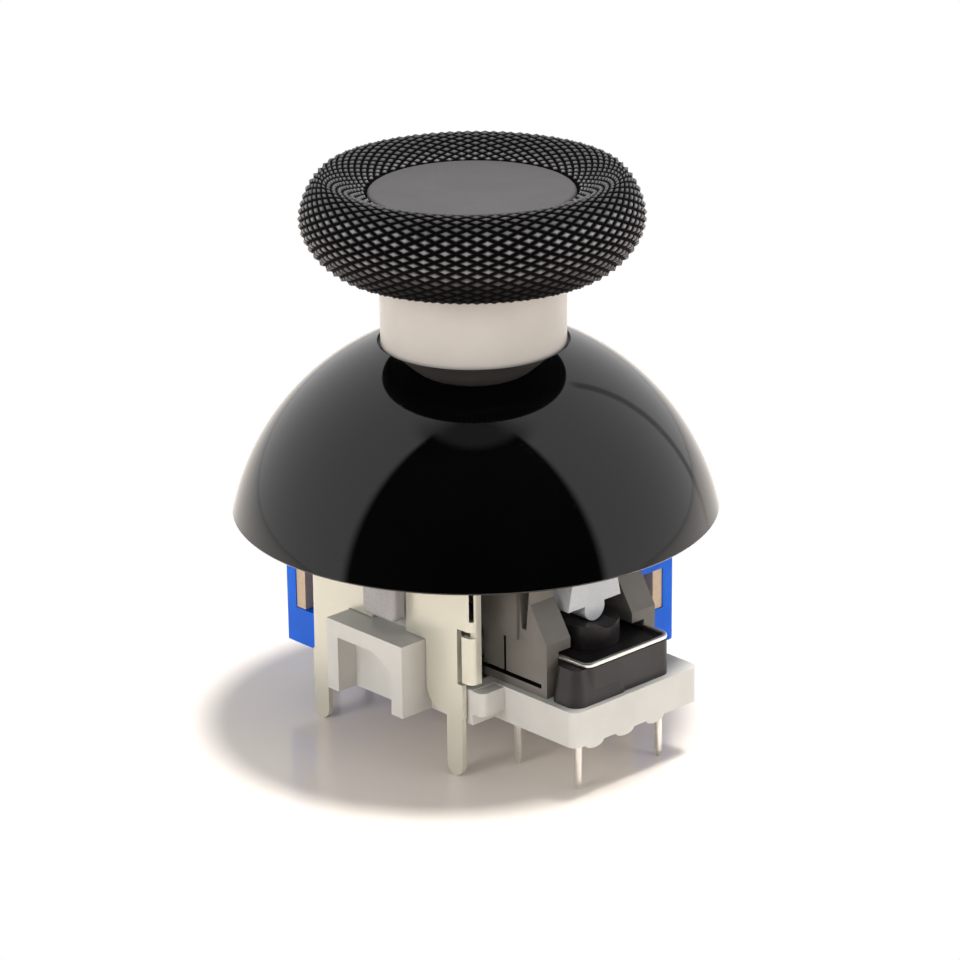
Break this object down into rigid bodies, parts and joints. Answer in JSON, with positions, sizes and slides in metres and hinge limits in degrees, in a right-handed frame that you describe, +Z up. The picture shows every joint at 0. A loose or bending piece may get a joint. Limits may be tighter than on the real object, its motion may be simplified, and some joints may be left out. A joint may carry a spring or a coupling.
{
  "type": "analog stick module",
  "caption": "Game controller analog stick: knurled thumb cap on a dust dome, over a gimbal of two arms with position sensors and a push switch.",
  "frame": {"origin": "on the stick's upright axis, level with the tips of the pins and legs", "axes": "+Z up along the stick, +X towards the push switch, +Y towards the second position sensor"},
  "size_m": [0.0256, 0.0256, 0.0304],
  "materials": {
    "grip_black": "black anodised with a diamond knurl",
    "pad_grey": "satin dark grey",
    "sleeve_cream": "smooth satin",
    "dome_black": "high gloss",
    "arm_grey": "moulded, slightly glossy",
    "frame_plated": "plated, soft shine",
    "base_cream": "moulded satin",
    "guide_grey": "moulded satin",
    "switch_black": "moulded satin",
    "bright_metal": "tinned, bright",
    "spring_steel": "drawn wire",
    "sensor_blue": "moulded semi-gloss",
    "board_beige": "phenolic board",
    "rotor_white": "moulded",
    "wiper_brass": "sheet"
  },
  "bodies": {
    "module": {"frame_shell": "frame_plated", "base": "base_cream", "switch_guide": "guide_grey", "switch_body": "switch_black", "switch_cover": "bright_metal", "switch_contact": "spring_steel", "switch_pins": "bright_metal", "return_spring": "spring_steel", "x_pot_housing": "sensor_blue", "x_pot_board": "board_beige", "x_pot_terminals": "bright_metal", "y_pot_housing": "sensor_blue", "y_pot_board": "board_beige", "y_pot_terminals": "bright_metal"},
    "x_rotor": {"x_pot_rotor": "rotor_white", "x_pot_wiper": "wiper_brass"},
    "lower_arm": {"lower_arm": "arm_grey"},
    "stick": {"lever": "arm_grey", "dome_skirt": "dome_black", "neck_sleeve": "sleeve_cream", "thumb_grip": "grip_black", "thumb_pad": "pad_grey"},
    "upper_arm": {"upper_arm": "arm_grey", "y_pot_rotor": "rotor_white", "y_pot_wiper": "wiper_brass"},
    "button": {"switch_plunger": "switch_black"},
    "return_plate": {"return_plate": "arm_grey"}
  },
  "joints": [
    {"name": "tilt_x", "type": "hinge", "parent": "module", "child": "x_rotor", "pos_m": [0, 0, 0.0091], "axis": [1, 0, 0], "range_deg": [-22, 22], "stiffness_Nm_per_rad": 0.02},
    {"name": "press", "type": "hinge", "parent": "x_rotor", "child": "lower_arm", "pos_m": [-0.0076, 0, 0.0091], "axis": [0, 1, 0], "range_deg": [0, 1.25], "stiffness_Nm_per_rad": 2, "springref_deg": -0.57},
    {"name": "tilt_y", "type": "hinge", "parent": "lower_arm", "child": "stick", "pos_m": [0, 0, 0.0091], "axis": [0, 1, 0], "range_deg": [-22, 22], "stiffness_Nm_per_rad": 0.02},
    {"name": "upper_swing", "type": "hinge", "parent": "module", "child": "upper_arm", "pos_m": [0, 0, 0.0091], "axis": [0, 1, 0], "range_deg": [-22, 22]},
    {"name": "button_travel", "type": "slide", "parent": "module", "child": "button", "axis": [0, 0, -1], "range_m": [0, 0.00036], "deforming": ["switch_contact"]},
    {"name": "plate_travel", "type": "slide", "parent": "module", "child": "return_plate", "axis": [0, 0, -1], "range_m": [0, 0.00018], "deforming": ["return_spring"]}
  ],
  "couplings": [
    {"joint": "upper_swing", "follows": "tilt_y", "ratio": 1},
    {"joint": "button_travel", "follows": "press", "m_per_rad": 0.016},
    {"joint": "plate_travel", "follows": "press", "m_per_rad": 0.0076}
  ]
}
